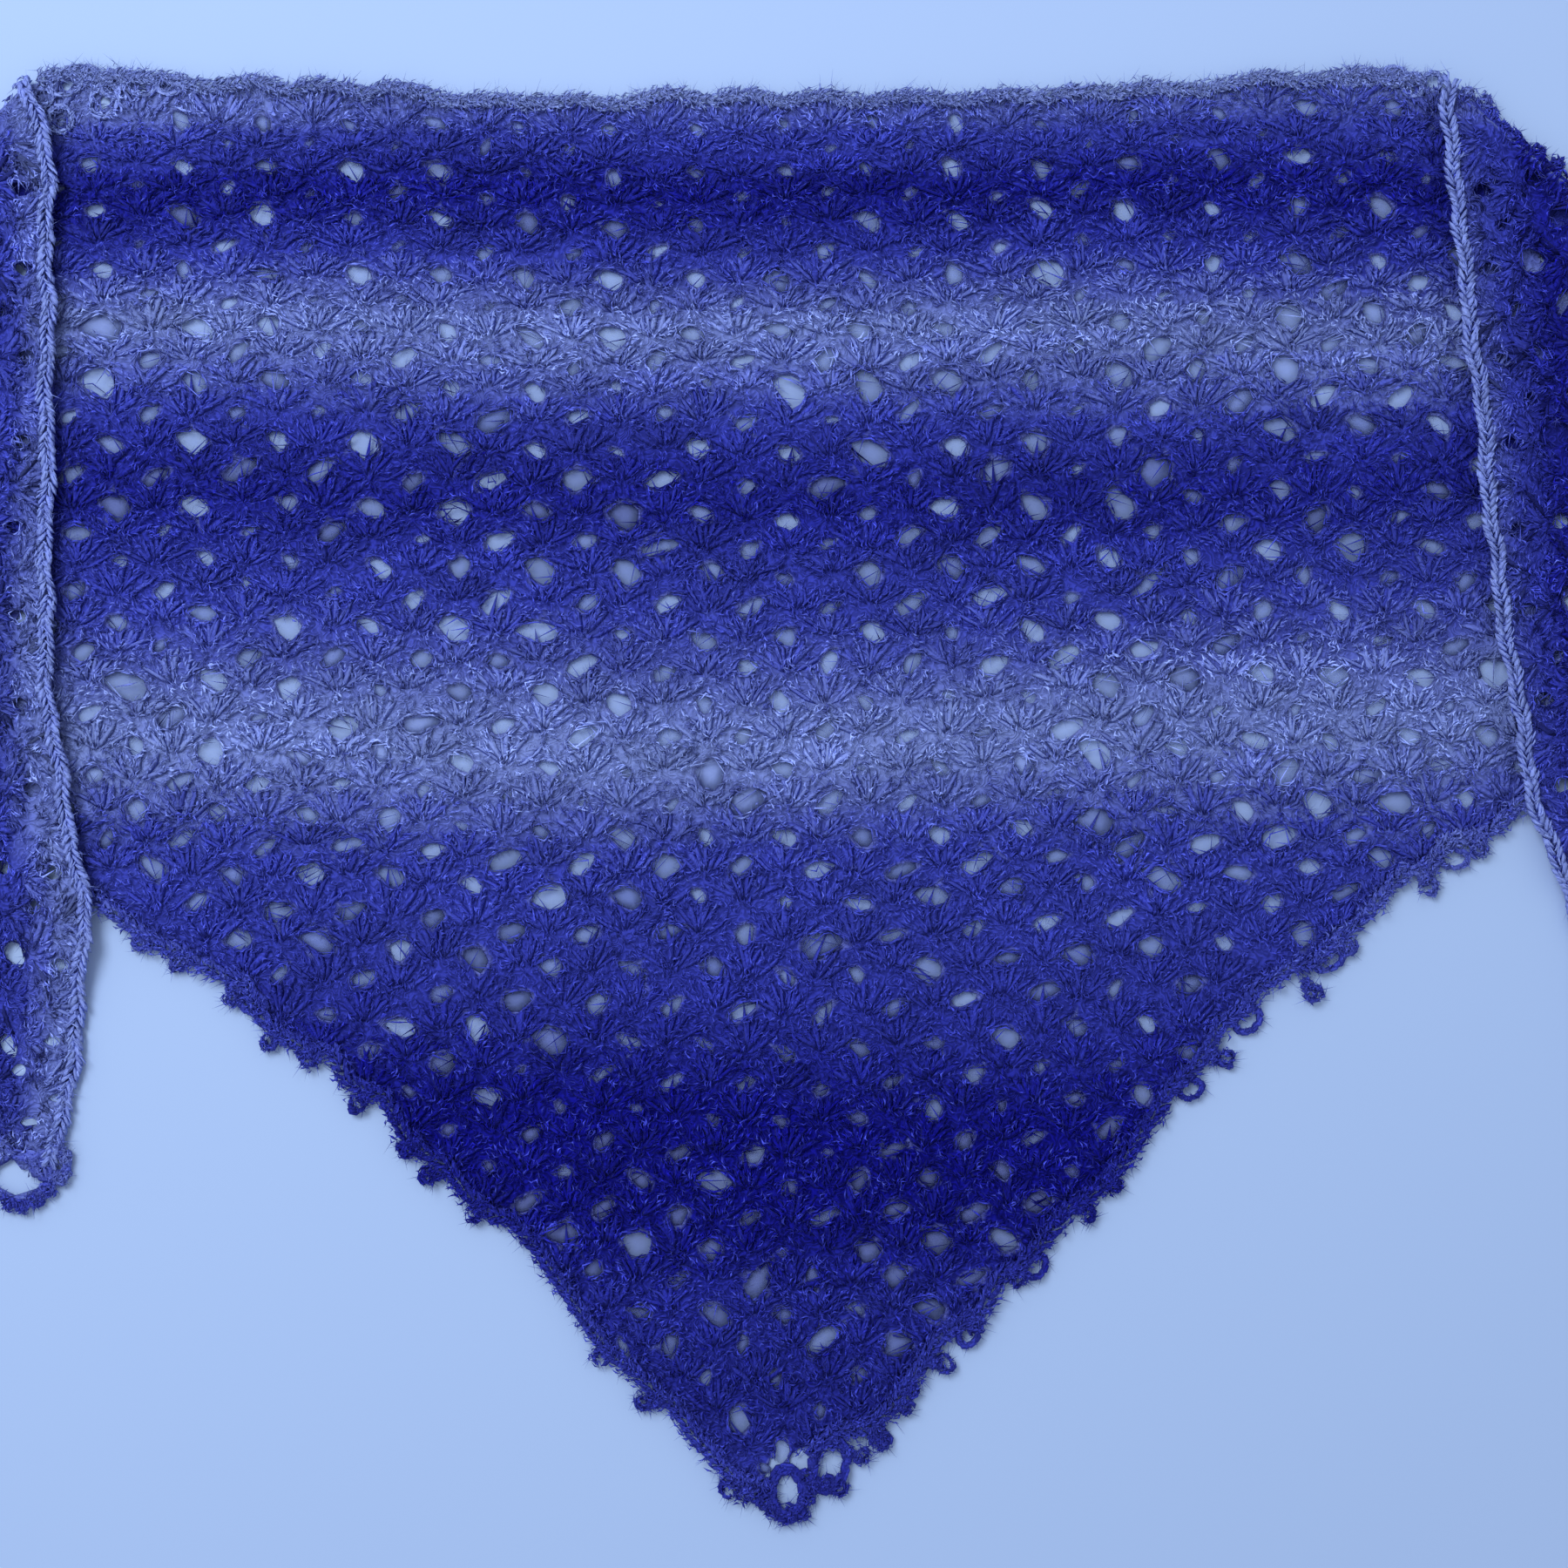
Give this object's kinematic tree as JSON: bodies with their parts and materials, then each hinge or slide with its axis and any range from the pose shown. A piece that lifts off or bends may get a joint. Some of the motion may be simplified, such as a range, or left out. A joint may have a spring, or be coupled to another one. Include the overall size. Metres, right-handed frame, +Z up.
{
  "type": "crochet shawl",
  "caption": "Triangular shell-stitch crochet shawl with a scalloped top edge and picot hem, laid flat with both wing ends folded over onto the front.",
  "frame": {"origin": "on the surface that the shawl lies on, under the middle of its laid outline", "axes": "+X along the long straight edge, +Y from the point up to that edge, +Z up off the surface"},
  "size_m": [1.3366, 0.8078, 0.0145],
  "materials": {
    "gradient_yarn": "soft brushed yarn, matt with a faint halo",
    "light_yarn": "soft brushed yarn, matt with a faint halo",
    "dark_yarn": "soft brushed yarn, matt with a faint halo"
  },
  "bodies": {
    "root": {"body_panel": "gradient_yarn", "wing_left": "gradient_yarn", "wing_right": "gradient_yarn", "fold_left": "gradient_yarn", "fold_right": "gradient_yarn", "top_edging": "light_yarn", "wing_chain_left": "light_yarn", "wing_chain_right": "light_yarn", "picot_edging_left": "dark_yarn", "picot_edging_right": "dark_yarn", "wing_picot_left": "dark_yarn", "wing_picot_right": "dark_yarn"}
  },
  "joints": []
}
